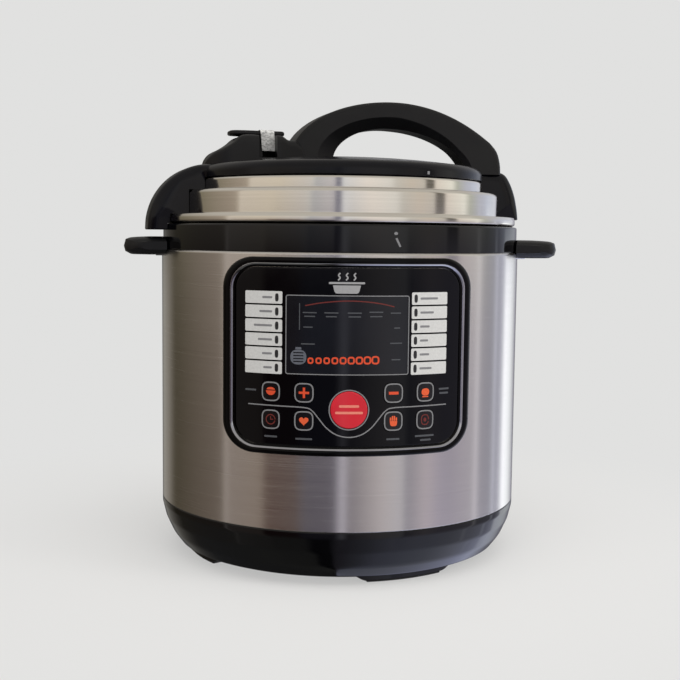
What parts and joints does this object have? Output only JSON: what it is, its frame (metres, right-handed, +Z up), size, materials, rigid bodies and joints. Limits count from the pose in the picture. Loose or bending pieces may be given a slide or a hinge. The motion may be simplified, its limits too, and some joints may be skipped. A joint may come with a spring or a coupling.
{
  "type": "electric pressure cooker",
  "caption": "Round countertop electric pressure cooker with a bayonet lid, arched lid handle, exhaust valve, curved control panel and removable inner pot.",
  "frame": {"origin": "on the pot's axis at the level that the feet stand on", "axes": "+Z up; -Y is the front, with the control panel; +X is the viewer's right"},
  "size_m": [0.3136, 0.2674, 0.3307],
  "materials": {
    "gloss_black": "glossy moulded black",
    "satin_black": "satin moulded black",
    "brushed_shell": "brushed round the body",
    "lid_metal": "polished",
    "outer_pot": "satin",
    "inner_pot": "non-stick inside, satin outside",
    "cast_plate": "cast, turned face",
    "heater_tube": "heat tinted",
    "steel_parts": "zinc plated",
    "brass_pins": "plated",
    "rubber_feet": "matt",
    "silicone": "translucent silicone",
    "red_silicone": "red silicone",
    "light_plastic": "moulded",
    "circuit_board": "solder mask",
    "wire_cover": "insulated wire",
    "clear_cup": "clear smoke plastic",
    "panel_gloss": "glossy printed sheet",
    "display_dark": "dark display pane",
    "red_button": "glossy red",
    "key_black": "glossy black",
    "paper_tag": "white printed tag"
  },
  "bodies": {
    "root": {"base_housing": "gloss_black", "bottom_cover": "steel_parts", "bottom_screws": "steel_parts", "rubber_feet": "rubber_feet", "steel_shell": "brushed_shell", "rim_collar": "gloss_black", "side_handle_left": "satin_black", "side_handle_right": "satin_black", "handle_screws": "steel_parts", "support_posts": "steel_parts", "outer_pot": "outer_pot", "heating_plate": "cast_plate", "plate_bolts": "steel_parts", "heating_tube": "heater_tube", "sensor_bracket": "steel_parts", "sensor_spring": "steel_parts", "pressure_switch": "light_plastic", "thermal_fuse": "light_plastic", "power_board": "circuit_board", "board_standoffs": "light_plastic", "control_board": "circuit_board", "display_module": "display_dark", "wiring": "wire_cover", "inlet_socket": "satin_black", "inlet_pins": "brass_pins", "cup_bracket": "satin_black", "panel_bezel": "gloss_black", "panel_sheet": "panel_gloss", "display_window": "display_dark"},
    "temperature_sensor": {"temperature_sensor": "cast_plate"},
    "condensation_cup": {"condensation_cup": "clear_cup"},
    "menu_button": {"menu_button": "red_button"},
    "key_upper_1": {"key_upper_1": "key_black"},
    "key_upper_2": {"key_upper_2": "key_black"},
    "key_upper_3": {"key_upper_3": "key_black"},
    "key_upper_4": {"key_upper_4": "key_black"},
    "key_lower_1": {"key_lower_1": "key_black"},
    "key_lower_2": {"key_lower_2": "key_black"},
    "key_lower_3": {"key_lower_3": "key_black"},
    "key_lower_4": {"key_lower_4": "key_black"},
    "inner_pot": {"inner_pot": "inner_pot"},
    "support_cap": {"support_cap": "lid_metal", "sealing_ring": "silicone", "cap_grommet": "red_silicone"},
    "lid": {"cap_stud": "steel_parts", "lid_shell": "lid_metal", "lid_cover": "satin_black", "lid_handle": "satin_black", "lid_screws": "steel_parts", "exhaust_pipe": "steel_parts", "pipe_shield": "lid_metal"},
    "exhaust_valve": {"exhaust_knob": "satin_black", "valve_tag": "paper_tag"},
    "float_valve": {"float_pin": "red_silicone", "float_seal": "silicone"}
  },
  "joints": [
    {"name": "pot_lift", "type": "slide", "parent": "root", "child": "inner_pot", "axis": [0, 0, 1], "range_m": [0, 0.2]},
    {"name": "lid_lift", "type": "slide", "parent": "inner_pot", "child": "support_cap", "axis": [0, 0, 1], "range_m": [0, 0.15]},
    {"name": "lid_turn", "type": "hinge", "parent": "support_cap", "child": "lid", "pos_m": [0, 0, 0.247], "axis": [0, 0, 1], "range_deg": [-13, 0]},
    {"name": "valve_turn", "type": "hinge", "parent": "lid", "child": "exhaust_valve", "pos_m": [-0.06333, -0.01462, 0.296], "axis": [0, 0, 1], "range_deg": [0, 60]},
    {"name": "float_rise", "type": "slide", "parent": "lid", "child": "float_valve", "axis": [0, 0, 1], "range_m": [0, 0.0037]},
    {"name": "cup_pull", "type": "slide", "parent": "root", "child": "condensation_cup", "axis": [0.7071, 0.7071, 0], "range_m": [0, 0.03]},
    {"name": "sensor_press", "type": "slide", "parent": "root", "child": "temperature_sensor", "axis": [0, 0, 1], "range_m": [-0.003, 0], "stiffness_N_per_m": 400, "springref_m": 0.002, "deforming": ["sensor_spring"]},
    {"name": "menu_press", "type": "slide", "parent": "root", "child": "menu_button", "axis": [0, 1, 0], "range_m": [0, 0.0007], "stiffness_N_per_m": 2500},
    {"name": "key_upper_1_press", "type": "slide", "parent": "root", "child": "key_upper_1", "axis": [0.373, 0.9278, 0], "range_m": [0, 0.0007], "stiffness_N_per_m": 2000},
    {"name": "key_upper_2_press", "type": "slide", "parent": "root", "child": "key_upper_2", "axis": [0.2147, 0.9767, 0], "range_m": [0, 0.0007], "stiffness_N_per_m": 2000},
    {"name": "key_upper_3_press", "type": "slide", "parent": "root", "child": "key_upper_3", "axis": [-0.2147, 0.9767, 0], "range_m": [0, 0.0007], "stiffness_N_per_m": 2000},
    {"name": "key_upper_4_press", "type": "slide", "parent": "root", "child": "key_upper_4", "axis": [-0.373, 0.9278, 0], "range_m": [0, 0.0007], "stiffness_N_per_m": 2000},
    {"name": "key_lower_1_press", "type": "slide", "parent": "root", "child": "key_lower_1", "axis": [0.373, 0.9278, 0], "range_m": [0, 0.0007], "stiffness_N_per_m": 2000},
    {"name": "key_lower_2_press", "type": "slide", "parent": "root", "child": "key_lower_2", "axis": [0.2147, 0.9767, 0], "range_m": [0, 0.0007], "stiffness_N_per_m": 2000},
    {"name": "key_lower_3_press", "type": "slide", "parent": "root", "child": "key_lower_3", "axis": [-0.2147, 0.9767, 0], "range_m": [0, 0.0007], "stiffness_N_per_m": 2000},
    {"name": "key_lower_4_press", "type": "slide", "parent": "root", "child": "key_lower_4", "axis": [-0.373, 0.9278, 0], "range_m": [0, 0.0007], "stiffness_N_per_m": 2000}
  ]
}
